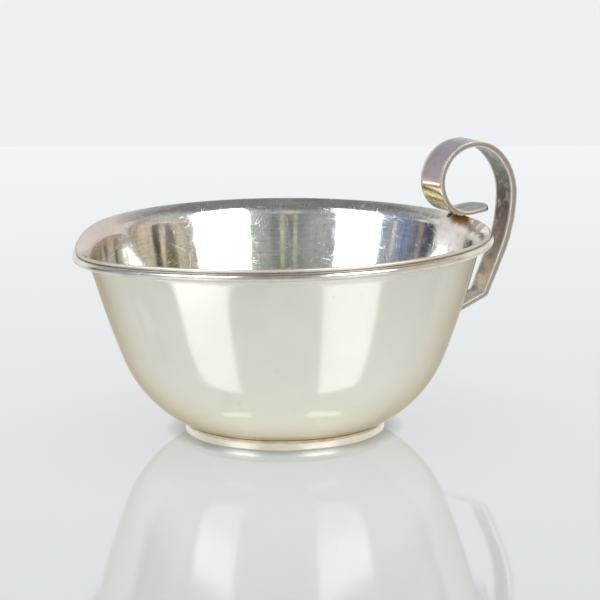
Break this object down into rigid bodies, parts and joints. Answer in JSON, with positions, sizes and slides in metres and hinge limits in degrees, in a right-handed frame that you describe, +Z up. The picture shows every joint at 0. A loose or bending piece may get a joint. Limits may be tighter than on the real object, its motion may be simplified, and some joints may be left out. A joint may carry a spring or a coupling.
{
  "type": "cream boat",
  "caption": "Small round silver cream boat with a drawn pouring lip, a wired rim, a ring foot and a flat strap handle that scrolls down onto the rim.",
  "frame": {"origin": "on the table, under the middle of the whole length from the tip of the lip to the handle's scroll", "axes": "+X towards the handle, the lip towards -X, +Z up"},
  "size_m": [0.1198, 0.104, 0.0683],
  "materials": {
    "polished_silver": "polished silver, mirror inside and soft outside, with fine wiping scratches",
    "handled_silver": "polished silver with light pinkish grey tarnish",
    "silver_solder": "dull, slightly yellow silver solder"
  },
  "bodies": {
    "root": {"bowl": "polished_silver", "rim_wire": "polished_silver", "foot_ring": "polished_silver", "foot_solder": "silver_solder", "handle_strap": "handled_silver", "handle_wall_solder": "silver_solder", "handle_rim_solder": "silver_solder"}
  },
  "joints": []
}
